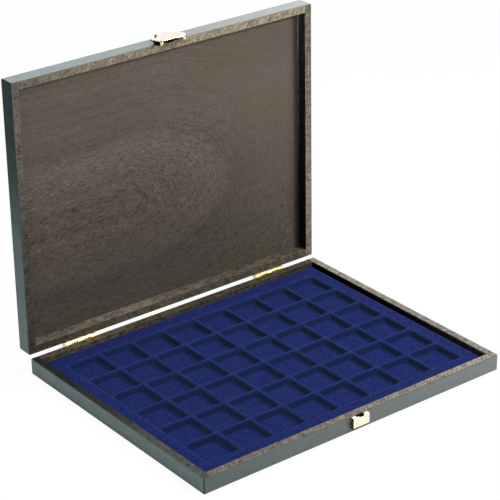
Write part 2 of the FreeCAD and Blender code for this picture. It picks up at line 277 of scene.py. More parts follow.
def lacquered(net, spot, fibre, seed, tone, bloomAndSheen):
    places = {"tint": spot, "veil": fibre, "grit": spot}
    textures = {kind: net.cloud(place, lacquer[kind], seed) for kind, place in places.items()}
    turn = net.ramp(textures["tint"], *lacquer["tintTurn"])
    colour = net.mix(turn, lacquer["green"], lacquer["violet"])
    # the lacquer's pale haze together with painted sheen
    colour = net.mix(bloomAndSheen, colour, lacquer["bloomSheenColour"])
    shade = uneven(lacquer["shade"], textures)
    # rounded edges take painted shade
    return net.mix(net.rounding() * lacquer["edgeShadeShare"], net.dimmed(colour, shade * tone),
                   lacquer["edgeShade"])


# Wooden sides and rails: open-grained wood, stained dark, with slanting strokes on the cut rims

stain = {
    "pink": (1.0, 0.76, 0.60),
    "olive": (1.0, 0.84, 0.60),
    "cool": (1.0, 0.98, 0.92),
    "hueTurn": (0.38, 0.62),
    "roughness": 0.7,
    "rimGloss": 0.4,
    "rimReach": (0.06 * mm, 0.2 * mm),      # how deep the look of a cut rim goes
    "strokes": ((620, 170, 170), 0, 3, 0.6),
    "fibres": ((90, 900, 900), 4, 2, 0.6),
    "speckle": ((820, 820, 820), 9, 3, 0.65),
    "patch": ((130, 130, 130), 13, 2, 0.5),
    "pores": ((430, 210, 210), 15, 2, 0.5),
    "poreTurn": (0.6, 0.7),
    "poreDepth": 0.6,
    "rimShade": {"strokes": 2.6, "speckle": 2.2, "patch": 1.1},
    "rimDarkest": 0.15,
    "wallShade": {"speckle": 3.6, "fibres": 2.2, "patch": 1.6},
    "wallDarkest": 0.1,
    # how dark the painted shade on an inner arris gets
    "innerArrisShadeTone": 0.12,
    "seamLightTurn": (146.2 * mm, 148.6 * mm),   # how far back the painted highlight line at the panel starts
    "endTurn": (0.5, 0.8),
    "woodBump": 0.4,
    "lacquerBump": 0.1,
    "bumpDepth": 0.05 * mm,
    "seedStep": 7.3,                # from one wooden piece to the next
}

# Pairs in brackets are places along the grain in mm, each with the value there. slant is how far a
# stroke leans; warmth and insideWarmth take the hue of rim and wall from cool, 0, to warm, 1; rim and
# inside are how much light the bare wood sends back, the wood's own darkness together with painted
# shade and light, as where the inner side walls go nearly black, the base's left rim darkens near the
# lid and the lid's left side darkens towards its top; tone, bloomAndSheen and gloss belong to the
# lacquer, where tone and bloomAndSheen paint light and shade along the piece as well, and ends gives
# these three on the end faces, painted lighter or darker there. shadedArrisWidth is how wide in mm
# the inner arris is painted dark, a painted shade on the rounded edge, and seamLight how much paler
# the wall is painted where it meets the panel, a painted highlight
woodPieces = {
    "base_left_side": {
        "grain": "YXZ", "slant": 0.1, "warmth": 0.0, "insideWarmth": 0.5,
        "rim": [(-120, 0.056), (-46, 0.056), (-15, 0.03), (15, 0.022), (46, 0.022), (78, 0.014),
                (120, 0.016)],
        "inside": 0.03,
        "tone": [(-113, 1.39), (80, 1.43), (120, 1.6)], "bloomAndSheen": 0.17, "gloss": 0.1,
        "ends": (0.75, 0.0, 1.0)},
    "base_right_side": {
        "grain": "YXZ", "slant": 0.1, "warmth": 0.6, "insideWarmth": 0.4,
        "rim": [(-110, 0.152), (46, 0.148), (78, 0.17), (110, 0.18)],
        "inside": [(-105, 0.041), (-75, 0.029), (-45, 0.021), (-15, 0.013), (15, 0.006),
                   (45, 0.003), (110, 0.003)],
        "tone": 1.0, "bloomAndSheen": 0.1, "gloss": 1.0,
        "ends": (0.86, 0.33, 1.0), "shadedArrisWidth": 1.5},
    "base_front_rail": {
        "grain": "XYZ", "slant": 0.6, "warmth": 0.85, "insideWarmth": 0.8,
        "rim": [(-140, 0.124), (-20, 0.124), (20, 0.138), (60, 0.158), (100, 0.183), (150, 0.216)],
        "inside": 0.06,
        "tone": [(-165, 0.75), (-60, 0.69), (60, 0.64), (160, 0.86)],
        "bloomAndSheen": [(-165, 0.0), (-60, 0.2), (60, 0.45), (160, 0.33)], "gloss": 1.0},
    "base_rear_rail": {
        "grain": "XYZ", "slant": -0.6, "warmth": 1.1, "insideWarmth": 1.15,
        "rim": [(-140, 0.077), (-100, 0.087), (-60, 0.06), (-20, 0.054), (20, 0.042), (60, 0.045),
                (150, 0.064)],
        "inside": [(-150, 0.105), (-58, 0.1), (20, 0.074), (135, 0.07)],
        "tone": 1.0, "bloomAndSheen": 0.1, "gloss": 1.0},
    "lid_left_side": {
        "grain": "ZXY", "slant": 0.1, "warmth": 0.9, "insideWarmth": 0.8,
        "rim": [(30, 0.056), (76, 0.071), (138, 0.071), (169, 0.09), (200, 0.107), (231, 0.122),
                (270, 0.115)],
        "inside": 0.04,
        "tone": [(30, 1.18), (105, 1.36), (137, 1.36), (169, 0.92), (202, 0.68), (235, 0.54),
                 (280, 0.56)],
        "bloomAndSheen": 0.08, "gloss": [(30, 0.5), (140, 0.0)],
        "ends": (1.23, 0.05, 1.0)},
    "lid_right_side": {
        "grain": "ZXY", "slant": 0.1, "warmth": 1.0, "insideWarmth": 0.0,
        "rim": [(45, 0.174), (107, 0.215), (138, 0.172), (200, 0.166), (231, 0.144), (270, 0.146)],
        "inside": [(45, 0.011), (80, 0.01), (138, 0.015), (197, 0.02), (227, 0.029), (270, 0.05)],
        "tone": 1.0, "bloomAndSheen": 0.1, "gloss": 1.0,
        "ends": (0.83, 0.75, 1.0), "seamLight": [(45, 1.2), (120, 2.2), (180, 6.5), (240, 6.0)]},
    "lid_front_rail": {
        "grain": "XYZ", "slant": 0.6, "warmth": 1.15, "insideWarmth": 1.0,
        "rim": [(-150, 0.162), (-100, 0.207), (-60, 0.246), (-20, 0.242), (20, 0.278), (150, 0.288)],
        "inside": 0.06,
        "tone": [(-165, 1.23), (-60, 1.05), (20, 0.86), (165, 0.83)],
        "bloomAndSheen": [(-165, 0.05), (-60, 0.17), (20, 0.38), (165, 0.75)], "gloss": 1.0},
    "lid_rear_rail": {
        "grain": "XYZ", "slant": -1.0, "warmth": 1.1, "insideWarmth": 0.95,
        "rim": [(-150, 0.072), (-100, 0.103), (-20, 0.126), (20, 0.106), (60, 0.104), (140, 0.122)],
        "inside": [(-150, 0.11), (-96, 0.14), (-58, 0.158), (-19, 0.126), (19, 0.1), (96, 0.08),
                   (150, 0.09)],
        "tone": 1.0, "bloomAndSheen": 0.1, "gloss": 1.0},
}


def stained(hue, warmth):
    # a wood hue between the cool one and its own
    return tuple(cool + (warm - cool) * warmth
                 for warm, cool in zip(stain[hue], stain["cool"])) + (1.0,)


def innerArrisShade(net, x, width):
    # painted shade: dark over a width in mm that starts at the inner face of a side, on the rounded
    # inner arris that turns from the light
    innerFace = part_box("lid_right_side")[0].x + 0.01 * mm
    return net.ramp(abs(x) - innerFace, 0.0, width * mm, stain["innerArrisShadeTone"], 1.0)


def woodFinish(name, grain, slant, warmth, insideWarmth, rim, inside, tone, bloomAndSheen, gloss, seed,
               ends=None, shadedArrisWidth=0.0, seamLight=None):
    net = Net(bpy.data.materials.new(name + "_finish"))
    spot = net.place()
    channels = dict(zip("XYZ", net.axes(spot)))
    along, across, depth = (channels[axis] for axis in grain)
    fibre = net.joined(along, across, depth)
    leaning = net.joined(along - slant * (across + depth), across, depth)
    places = {"strokes": leaning, "fibres": fibre, "speckle": spot, "patch": spot, "pores": leaning}
    textures = {kind: net.cloud(place, stain[kind], seed) for kind, place in places.items()}
    pores = net.ramp(textures["pores"], *stain["poreTurn"]) * stain["poreDepth"]
    turn = net.ramp(textures["patch"], *stain["hueTurn"])
    rimHue, wallHue = (net.mix(turn, stained("pink", share), stained("olive", share))
                       for share in (warmth, insideWarmth))

    # the rim and inside profiles carry the wood's own darkness together with painted shade along the
    # grain
    rimShade = uneven(stain["rimShade"], textures).most(stain["rimDarkest"]) * (1 - pores)
    # the rim's inner arris is painted darker, a painted shade
    arrisShaded = innerArrisShade(net, channels["X"], shadedArrisWidth) if shadedArrisWidth else 1.0
    cut = net.dimmed(rimHue, rimShade * net.profile(along, rim) * arrisShaded)
    wallShade = uneven(stain["wallShade"], textures).most(stain["wallDarkest"])
    # the wall painted paler where it meets the panel, a painted highlight that grows up the wall
    panelLight = net.profile(along, seamLight) * net.ramp(channels["Y"], *stain["seamLightTurn"]) if seamLight else 0.0
    wall = net.dimmed(wallHue, wallShade * net.profile(along, inside) * (1 + panelLight))

    nearest, fromRim = outsideDistances(net, spot, name.split("_")[0])
    outside = inSkin(net, nearest)
    onRim = net.ramp(fromRim, *stain["rimReach"], 1.0, 0.0)
    # the lacquer's tone and pale mix along the grain and on the end faces carry painted light and
    # shade
    tone, bloomAndSheen, gloss = (net.profile(along, value) for value in (tone, bloomAndSheen, gloss))
    if ends:
        facing = dict(zip("XYZ", net.facing()))
        atEnd = net.ramp(abs(facing[grain[0]]), *stain["endTurn"])
        tone, bloomAndSheen, gloss = (value * (1 - atEnd) + end * atEnd
                              for value, end in zip((tone, bloomAndSheen, gloss), ends))
    outer = lacquered(net, spot, fibre, seed, tone, bloomAndSheen)
    colour = net.mix(outside, net.mix(onRim, wall, cut), outer)
    shine = (onRim * stain["rimGloss"] * (1 - outside) + outside * gloss) * (1 - net.rounding())
    height = (textures["fibres"] * stain["woodBump"] - pores) * (1 - outside) \
        + textures["fibres"] * stain["lacquerBump"]
    return net.finish(Base_Color=colour, Roughness=stain["roughness"], Specular_IOR_Level=0.0,
                      Coat_Weight=shine, Coat_Roughness=lacquer["coatRoughness"],
                      bump=(height, stain["bumpDepth"]))


for number, (name, piece) in enumerate(woodPieces.items()):
    wear(name, woodFinish(name, seed=stain["seedStep"] * number, **piece))
print("wooden sides and rails finished:", len(woodPieces))


# Panels: crown-cut veneer inside, lacquer outside

veneer = {
    "hue": (0.09, 0.069, 0.0535, 1.0),
    "violetHue": (0.089, 0.0675, 0.056, 1.0),
    "hueTurn": (0.4, 0.6),
    "lowHue": (0.088, 0.0725, 0.058, 1.0),
    "lowTurn": (0.11, 0.07),        # heights between which the low hue comes in
    "specular": 0.5,
    "specularTint": (1.0, 0.8, 0.63, 1.0),
    "roughness": 0.6,
    "outsideTone": 1.0,
    "outsideBloomAndSheen": 0.0,
    "outsideCoat": 0.6,
    "bumpDepth": 0.02 * mm,
    "crownTip": -0.041,             # x where the nested arches of the figure turn round
    "crownHeight": 0.133,
    "crownStretch": 0.576,
    "heartDrift": 0.01,             # how far the heart, and each ring, strays from its line
    "ringDrift": 0.012,
    "ringWander": 0.006,
    "ringLean": 0.02,
    "figureReach": 0.2,
    # how pale each arch is, against its distance from the heart as a share of the reach
    "figure": [(0.0, 0.45), (0.03, 0.42), (0.045, 0.12), (0.07, 0.5), (0.1, 0.58), (0.13, 0.42),
               (0.17, 0.58), (0.22, 0.75), (0.28, 0.82), (0.32, 0.72), (0.35, 0.3), (0.4, 0.35),
               (0.48, 0.5), (0.6, 0.58), (1.0, 0.5)],
    "drift": ((9, 14, 1), 2, 2, 0.5),
    "wander": ((30, 70, 1), 12, 3, 0.5),
    "rings": ((170, 1, 1), 1, 3, 0.6),
    "dashes": ((130, 750, 200), 11, 3, 0.65),
    "mottle": ((420, 500, 480), 17, 3, 0.65),
    "patch": ((12, 18, 1), 23, 2, 0.5),
    "figureShade": 0.55,
    "ringShade": (0.05, 0.09, 0.6, 0.2),    # from x to x, and the weight at each
    "patchShade": 0.35,
    "dashShade": 2.5,
    "mottleShade": 2.1,
    "darkest": 0.2,
    # how the light rises up the panel, and how strong the fine grain shows on its left and right
    "rise": [(30, 0.8), (50, 0.79), (70, 0.73), (90, 0.79), (110, 0.88), (150, 0.97), (190, 1.08),
             (280, 1.18)],
    "leftGrain": [(40, 0.75), (90, 1.0), (120, 1.2), (180, 1.15), (215, 0.45), (270, 0.45)],
    "rightGrain": [(40, 1.0), (80, 0.8), (130, 0.4), (270, 0.2)],
    "rightTurn": (0.02, 0.1),
    # rightEdge paints the panel lighter towards its right wall, painted light
    "rightEdge": (0.135, 0.15, 1.0, 1.15),
    "topEdge": (0.2786, 0.2803, 1.0, 0.3),  # the shadow under the rail
}

panels = {
    "lid_top_panel": {"half": "lid", "seed": 3.0},
    "base_bottom_panel": {"half": "base", "seed": 8.0},
}


def veneerFinish(name, half, seed):
    net = Net(bpy.data.materials.new(name + "_finish"))
    spot = net.place()
    x, y, z = net.axes(spot)
    height = z if half == "lid" else y + veneer["crownHeight"]
    sheet = net.joined(x, height, 0.0)
    drift = net.cloud(sheet, veneer["drift"], seed) - 0.5
    wander = net.cloud(sheet, veneer["wander"], seed) - 0.5
    # how far a spot lies out from the heart of the crown: rings run level and turn round past its tip
    past = (x - veneer["crownTip"]).most(0.0) * veneer["crownStretch"]
    off = height - veneer["crownHeight"] + veneer["heartDrift"] * drift
    ring = (past ** 2.0 + off ** 2.0) ** 0.5 \
        + veneer["ringDrift"] * drift + veneer["ringWander"] * wander
    curl = net.joined(x, ring, height)
    places = {"rings": net.joined(ring, veneer["ringLean"] * x, 0.0),
              "dashes": curl, "mottle": curl, "patch": sheet}
    textures = {kind: net.cloud(place, veneer[kind], seed) for kind, place in places.items()}
    textures["figure"] = net.node("ShaderNodeValToRGB", {"stops": veneer["figure"]},
                                  {0: ring * (1 / veneer["figureReach"])})

    shade = uneven({"figure": veneer["figureShade"], "rings": net.ramp(x, *veneer["ringShade"]),
                    "patch": veneer["patchShade"]}, textures)
    toRight = net.ramp(x, *veneer["rightTurn"])
    lively = net.profile(height, veneer["leftGrain"]) * (1 - toRight) \
        + net.profile(height, veneer["rightGrain"]) * toRight
    shade = shade + lively * (veneer["dashShade"] * (textures["dashes"] - 0.5)
                              + veneer["mottleShade"] * (textures["mottle"] - 0.5))
    turn = net.ramp(textures["patch"], *veneer["hueTurn"])
    colour = net.mix(turn, veneer["hue"], veneer["violetHue"])
    colour = net.mix(net.ramp(height, *veneer["lowTurn"]), colour, veneer["lowHue"])
    # painted light beside the right wall and painted shadow under the top rail
    edges = net.ramp(x, *veneer["rightEdge"]) * net.ramp(height, *veneer["topEdge"])
    light = shade.most(veneer["darkest"]) * net.profile(height, veneer["rise"]) * edges
    outside = inSkin(net, outsideDistances(net, spot, half)[0])
    outer = lacquered(net, spot, sheet, seed, veneer["outsideTone"], veneer["outsideBloomAndSheen"])
    return net.finish(Base_Color=net.mix(outside, net.dimmed(colour, light), outer),
                      Roughness=veneer["roughness"], Specular_IOR_Level=veneer["specular"],
                      Specular_Tint=veneer["specularTint"],
                      Coat_Weight=outside * veneer["outsideCoat"],
                      Coat_Roughness=lacquer["coatRoughness"],
                      bump=(textures["dashes"], veneer["bumpDepth"]))


for name, panel in panels.items():
    wear(name, veneerFinish(name, **panel))
print("panels finished:", len(panels))


# Metal

# litTop is the colour of the upper faces, front the ones towards the front, left and deep the left
# and lower ones:
# painted reflections and painted shade, a colour for each way a face turns; tilt is the range of a
# face's upward lean over which deep comes in
brass = {
    "latch": {
        "litTop": paint(254, 240, 228), "front": paint(226, 216, 128),
        "deep": paint(30, 32, 12), "left": paint(52, 58, 36),
        "tilt": (0.3, -0.1), "roughness": 0.12},
    "fold": {
        "litTop": paint(252, 246, 200), "front": paint(246, 240, 176),
        "deep": paint(120, 116, 50), "left": paint(120, 120, 60),
        "tilt": (-0.3, -0.6), "roughness": 0.2},
    "catch": {
        "litTop": paint(255, 252, 232), "front": paint(255, 250, 224),
        "deep": paint(120, 84, 44), "left": paint(140, 134, 70),
        "tilt": (-0.1, -0.4), "roughness": 0.15},
    "hinge": {
        "litTop": paint(252, 238, 190), "front": paint(244, 224, 156),
        "deep": paint(206, 174, 100), "left": paint(230, 208, 146),
        "tilt": (0.0, -0.4), "roughness": 0.3},
    "screw": {
        "litTop": paint(236, 210, 150), "front": paint(226, 200, 140),
        "deep": paint(120, 96, 44), "left": paint(200, 170, 110),
        "tilt": (0.1, -0.3), "roughness": 0.25},
    "steel": {
        "litTop": paint(196, 198, 200), "front": paint(186, 188, 190),
        "deep": paint(100, 102, 106), "left": paint(150, 152, 156),
        "tilt": (0.1, -0.3), "roughness": 0.25},
}

# frontTurn and leftTurn are parts of a face's direction, from where a look comes in to where it
# is full
polish = {
    "frontTurn": (-0.3, -0.8),
    "leftTurn": (-0.5, -0.9),
    "smear": ((160, 160, 160), 2, 3, 0.6),
    "scratch": ((350, 4200, 4200), 8, 2, 0.5),
    # streaks wobble where deep comes in: painted streaky reflections
    "streaks": ((330, 60, 60), 12, 2, 0.5),
    "streakTilt": 0.2,
    "smearTurn": (0.5, 0.8),
    "smearShade": 0.12,
    "smearRoughness": 0.08,
    "scratchRoughness": 0.05,
    "bumpDepth": 0.001 * mm,
}

# painted shade on the catch: its mouth black inside the folded box and round the opening on the top,
# and its lower edge painted browner, a painted shadow
mouthShade = {
    "piece": "catch_box",
    "half": 4.6 * mm,
    "wall": 0.4 * mm,
    "blur": 0.1 * mm,
    "colour": paint(3, 3, 2),
    "footShadeTurn": (1.5 * mm, 0.9 * mm),
    "footShadeColour": paint(74, 48, 22),
}


def inMouthShade(net, spot):
    # 1 where shade is painted: in the dark mouth of the catch and round it on the top, and within the
    #                           folded box
    low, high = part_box(mouthShade["piece"])
    x, y, z = net.axes(spot)
    pastWall = (mouthShade["wall"], mouthShade["wall"] + mouthShade["blur"])
    fromMiddle = abs(x - (low.x + high.x) / 2)
    behindFront = net.ramp(y - low.y, *pastWall)
    opening = net.ramp(fromMiddle, mouthShade["half"] - mouthShade["blur"], mouthShade["half"], 1.0, 0.0)
    below = net.ramp(high.z - z, *pastWall)
    between = net.ramp((high.x - low.x) / 2 - fromMiddle, *pastWall)
    return behindFront * opening.most(below * between)


def metalFinish(name, litTop, front, deep, left, tilt, roughness):
    net = Net(bpy.data.materials.new(name + "_finish"))
    spot = net.place()
    x, y, z = net.facing()
    smear, scratch, streaks = (net.cloud(spot, polish[kind])
                               for kind in ("smear", "scratch", "streaks"))
    # colours by the way a face turns: painted reflections and painted shade
    colour = net.mix(net.ramp(y, *polish["frontTurn"]), litTop, front)
    colour = net.mix(net.ramp(x, *polish["leftTurn"]), colour, left)
    colour = net.mix(net.ramp(z + polish["streakTilt"] * (streaks - 0.5), *tilt), colour, deep)
    # the catch's lower edge and mouth are painted dark, painted shadow and shade
    if name == "catch":
        foot = net.axes(spot)[2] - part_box(mouthShade["piece"])[0].z
        colour = net.mix(net.ramp(foot, *mouthShade["footShadeTurn"]), colour, mouthShade["footShadeColour"])
        colour = net.mix(inMouthShade(net, spot), colour, mouthShade["colour"])
    colour = net.dimmed(colour, 1 - polish["smearShade"] * net.ramp(smear, *polish["smearTurn"]))
    shine = roughness + polish["smearRoughness"] * (smear - 0.5) \
        + polish["scratchRoughness"] * (scratch - 0.5)
    return net.finish(Base_Color=colour, Metallic=1.0, Roughness=shine,
                      bump=(scratch, polish["bumpDepth"]))


def metalKind(name):
    # which look a metal piece wears, and nothing for wood and flock
    if name.endswith(("screws", "nails")):
        return "screw"
    if name == "latch_spring":
        return "steel"
    return next((kind for kind in ("hinge", "catch", "latch") if kind in name), None)


metals = {kind: metalFinish(kind, **look) for kind, look in brass.items()}
for name in nodes:
    if metalKind(name):
        wear(name, metals[metalKind(name)])
print("metal finished")


# Folded corners under the latch's lip, one at each side of the catch

fold = {
    "inner": 9.9 * mm,              # from the latch's middle
    "outer": 14.6 * mm,
    "behindLip": 1.2 * mm,
    "belowTop": 1.2 * mm,
    "slant": -0.9 * mm,             # its foot lies this far in front of its top
    "reach": 3.6 * mm,
    "sheet": 0.5 * mm,
    "taper": 0.5 * mm,
    "footWidth": 1.2 * mm,
    "edge": 0.12 * mm,
    "edgeSteps": 2,
}


def latchFold(name, side):
    low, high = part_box("latch_lever")
    top = Vector((0, low.y + fold["behindLip"], high.z - fold["belowTop"]))
    foot = top + Vector((0, fold["slant"], -fold["reach"]))
    outerFoot = fold["outer"] - fold["taper"]
    corners = [(fold["inner"], top), (fold["outer"], top),
               (outerFoot, foot), (outerFoot - fold["footWidth"], foot)]
    mesh = bmesh.new()
    front, back = [[mesh.verts.new((side * x, place.y + behind, place.z)) for x, place in corners]
                   for behind in (0.0, fold["sheet"])]
    mesh.faces.new(front)
    mesh.faces.new(back)
    for i in range(len(corners)):
        j = (i + 1) % len(corners)
        mesh.faces.new((front[i], front[j], back[j], back[i]))
    bmesh.ops.recalc_face_normals(mesh, faces=mesh.faces)
    bmesh.ops.bevel(mesh, geom=mesh.edges[:], offset=fold["edge"], segments=fold["edgeSteps"],
                    affect="EDGES")
    made = formed(name, mesh)
    made.data.materials.append(metals["fold"])
    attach(made, "latch")


for name, side in (("left_latch_fold", -1), ("right_latch_fold", 1)):
    latchFold(name, side)
print("latch folds made")


# Flocked tray: one formed sheet with 48 soft-edged pockets

tray = {
    "columns": 8,
    "rows": 6,
    "sideBorder": 13.7 * mm,
    "endBorder": 15.7 * mm,
    "pile": 1.5 * mm,               # the flock stands this high on the formed sheet
    "rightGap": 1.5 * mm,           # the sheet ends this far short of its room on the right
    "pocketDepth": 6.6 * mm,
    "lipReach": 1.9 * mm,           # from the crest of a rib to where its wall gets steep
    "lipDrop": 1.9 * mm,
    "lipSteps": 6,
    "draft": 1.3 * mm,
    "footReach": 2.0 * mm,
    "footDrop": 2.0 * mm,
    "footSteps": 6,
    "cornerRound": 2.2 * mm,
    "cornerGain": 0.35,             # how much a ring's corner grows with its inset
    "sideSteps": 8,
    "cornerSteps": 6,
    "floorRings": (0.75, 0.5, 0.25),    # shares of a pocket's floor
    "borderShares": (0.3, 0.55, 0.8, 1.0),
    "edgeRound": 0.5 * mm,
    "edgeSteps": 4,
    "wave": 0.12 * mm,
    "waveLength": 28 * mm,
    "floorCrown": 0.12 * mm,
    "levelWithin": 0.1 * mm,        # what lies this near the crests keeps their height
    "joinWithin": 0.01 * mm,
}
hair = 1e-6                 # a distance, or a part of a direction, that counts as nothing
quarterTurn = math.pi / 2


def pocketRings(top):
    # inset from the cell's edge and height of each ring, from the crest of the ribs to the floor
    rings = [(0.0, top)]
    for step in range(1, tray["lipSteps"] + 1):
        angle = step / tray["lipSteps"] * quarterTurn
        rings.append((tray["lipReach"] * math.sin(angle),
                      top - tray["lipDrop"] * (1 - math.cos(angle))))
    floor = top - tray["pocketDepth"]
    foot = tray["lipReach"] + tray["draft"]
    for step in range(tray["footSteps"] + 1):
        angle = step / tray["footSteps"] * quarterTurn
        rings.append((foot + tray["footReach"] * (1 - math.cos(angle)),
                      floor + tray["footDrop"] * (1 - math.sin(angle))))
    return rings


def ringPoints(half, corner):
    # a rounded square round the origin: each point with the outward ray that it lies on
    points = []
    flat = half - corner
    for quarter in range(4):
        turn = Matrix.Rotation(quarter * quarterTurn, 2)
        for step in range(tray["sideSteps"]):
            across = -flat + 2 * flat * step / tray["sideSteps"]
            points.append((turn @ Vector((half, across)), turn @ Vector((1, 0))))
        for step in range(tray["cornerSteps"]):
            angle = step * quarterTurn / tray["cornerSteps"]
            ray = Vector((math.cos(angle), math.sin(angle)))
            points.append((turn @ (Vector((flat, flat)) + corner * ray), turn @ ray))
    return points


def onSquare(point, ray, half):
    # follows the ray outwards to the edge of the square cell
    steps = [(half - abs(p)) / abs(r) for p, r in zip(point, ray) if abs(r) > hair]
    return point + ray * min(steps)


def pocketCell(mesh, centre, half, rings):
    start = rings[1][0]
    outline = ringPoints(half - start, tray["cornerRound"])
    loops = [[onSquare(point, ray, half) for point, ray in outline]]
    for inset, height in rings[1:]:
        corner = tray["cornerRound"] + tray["cornerGain"] * (inset - start)
        loops.append([point for point, ray in ringPoints(half - inset, corner)])
    heights = [height for inset, height in rings]
    for share in tray["floorRings"]:
        loops.append([point * share for point in loops[len(rings) - 1]])
        heights.append(rings[-1][1] + tray["floorCrown"] * (1 - share))
    loops = [[mesh.verts.new((centre.x + p.x, centre.y + p.y, height)) for p in loop]
             for loop, height in zip(loops, heights)]
    for outer, inner in zip(loops, loops[1:]):
        for i in range(len(outer)):
            j = (i + 1) % len(outer)
            mesh.faces.new((outer[i], outer[j], inner[j], inner[i]))
    mesh.faces.new(loops[-1])


def borderSteps(width):
    # distances from the tray's edge: close together round its soft edge, then even
    soft = [tray["edgeRound"] * (1 - math.cos(step / tray["edgeSteps"] * quarterTurn))
            for step in range(tray["edgeSteps"] + 1)]
    return soft + [width * share for share in tray["borderShares"]]


def edgeDrop(distance):
    short = max(tray["edgeRound"] - distance, 0.0)
    return tray["edgeRound"] - math.sqrt(tray["edgeRound"] ** 2 - short ** 2)


def trayBorder(mesh, low, high):
    # the flat rim round the pockets, on a grid that meets the points of the outer cells
    def gridLine(axis, other, level):
        return sorted({round(v.co[axis], 7) for v in mesh.verts if abs(v.co[other] - level) < hair})

    gridX = gridLine(0, 1, low.y + tray["endBorder"])
    gridY = gridLine(1, 0, low.x + tray["sideBorder"])
    stepsX, stepsY = borderSteps(tray["sideBorder"]), borderSteps(tray["endBorder"])
    rightSteps = borderSteps(tray["sideBorder"] - tray["rightGap"])
    xs = [low.x + s for s in stepsX[:-1]] + gridX + [high.x - s for s in reversed(rightSteps[:-1])]
    ys = [low.y + s for s in stepsY[:-1]] + gridY + [high.y - s for s in reversed(stepsY[:-1])]
    made = {}

    def corner(i, j):
        if (i, j) not in made:
            x, y = xs[i], ys[j]
            drop = edgeDrop(min(x - low.x, high.x - x, y - low.y, high.y - y))
            made[i, j] = mesh.verts.new((x, y, high.z - drop))
        return made[i, j]

    for i in range(len(xs) - 1):
        for j in range(len(ys) - 1):
            besideX = i < len(stepsX) - 1 or i >= len(xs) - len(stepsX)
            besideY = j < len(stepsY) - 1 or j >= len(ys) - len(stepsY)
            if besideX or besideY:
                around = ((i, j), (i + 1, j), (i + 1, j + 1), (i, j + 1))
                mesh.faces.new([corner(a, b) for a, b in around])


def flockedTray():
    low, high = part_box("capsule_tray")
    pitchX = (high.x - low.x - 2 * tray["sideBorder"]) / tray["columns"]
    pitchY = (high.y - low.y - 2 * tray["endBorder"]) / tray["rows"]
    high += Vector((-tray["rightGap"], 0, tray["pile"]))
    rings = pocketRings(high.z)
    mesh = bmesh.new()
    for column in range(tray["columns"]):
        for row in range(tray["rows"]):
            centre = Vector((low.x + tray["sideBorder"] + (column + 0.5) * pitchX,
                             low.y + tray["endBorder"] + (row + 0.5) * pitchY))
            pocketCell(mesh, centre, pitchX / 2, rings)
    bmesh.ops.remove_doubles(mesh, verts=mesh.verts, dist=tray["joinWithin"])
    trayBorder(mesh, low, high)
    bmesh.ops.remove_doubles(mesh, verts=mesh.verts, dist=tray["joinWithin"])
    forX, forY = Vector((9, 0, 0)), Vector((0, 9, 0))       # other parts of the same noise
    for vertex in mesh.verts:                               # formed sheet is never quite true
        spot = vertex.co / tray["waveLength"]
        if vertex.co.z < high.z - tray["levelWithin"]:
            vertex.co.z += tray["wave"] * noise.noise(spot)
        vertex.co.x += tray["wave"] * noise.noise(spot * 2 + forX)
        vertex.co.y += tray["wave"] * noise.noise(spot * 2 + forY)
    footOf = {}                                             # the skirt's foot under each rim point
    for edge in [edge for edge in mesh.edges if edge.is_boundary]:
        for vertex in edge.verts:
            if vertex not in footOf:
                footOf[vertex] = mesh.verts.new((vertex.co.x, vertex.co.y, low.z))
        first, second = edge.verts
        mesh.faces.new((first, second, footOf[second], footOf[first]))
    bmesh.ops.contextual_create(mesh, geom=[edge for edge in mesh.edges if edge.is_boundary])
    bmesh.ops.recalc_face_normals(mesh, faces=mesh.faces)
    for face in mesh.faces:
        face.smooth = True
    return formed("flocked_tray", mesh)


flock = {
    "deep": paint(18, 26, 65),
    "mid": paint(31, 38, 88),
    "pale": paint(39, 48, 100),
    "nap": ((900, 900, 900), 4, 3, 0.7),
    "napTurn": (0.35, 0.65),
    "tuft": ((600, 600, 600), 14, 2, 0.6),
    "tuftTurn": (0.4, 0.6),
    "brushed": ((170, 260, 200), 9, 4, 0.65),
    "brushedTurn": (0.25, 0.75),
    "crest": 1.7 * mm,              # half the width of the paler crest of a rib, a painted highlight
    "crestShare": 0.5,
    "fieldTurn": (1 * mm, 2 * mm),  # the crests end this far out from the field of pockets
    "cutEdge": (0.024, 0.03, 0.08, 1.0),
    "cutTurn": (0.8 * mm, 1.6 * mm),
    # pocket walls take colours of their own by the way they face, painted shade against the floor;
    # walls facing -X take shadyWall, painted lighter on the left and darker to the right as the light
    # falls
    "wall": (0.0126, 0.022, 0.078, 1.0),
    "wallTurn": (0.96, 0.6),        # how far up a face looks, from level ground to a pocket's wall
    "shadyWall": (0.031, 0.055, 0.125),
    "shadyTurn": (-0.5, -0.8),
    "shadyShare": [(-148, 1.25), (0, 1.0), (148, 0.65)],
    "roughness": 0.95,
    "sheen": 0.2,
    "sheenRoughness": 0.4,
    "sheenTint": paint(90, 105, 190),
    "bumpDepth": 0.2 * mm,
}


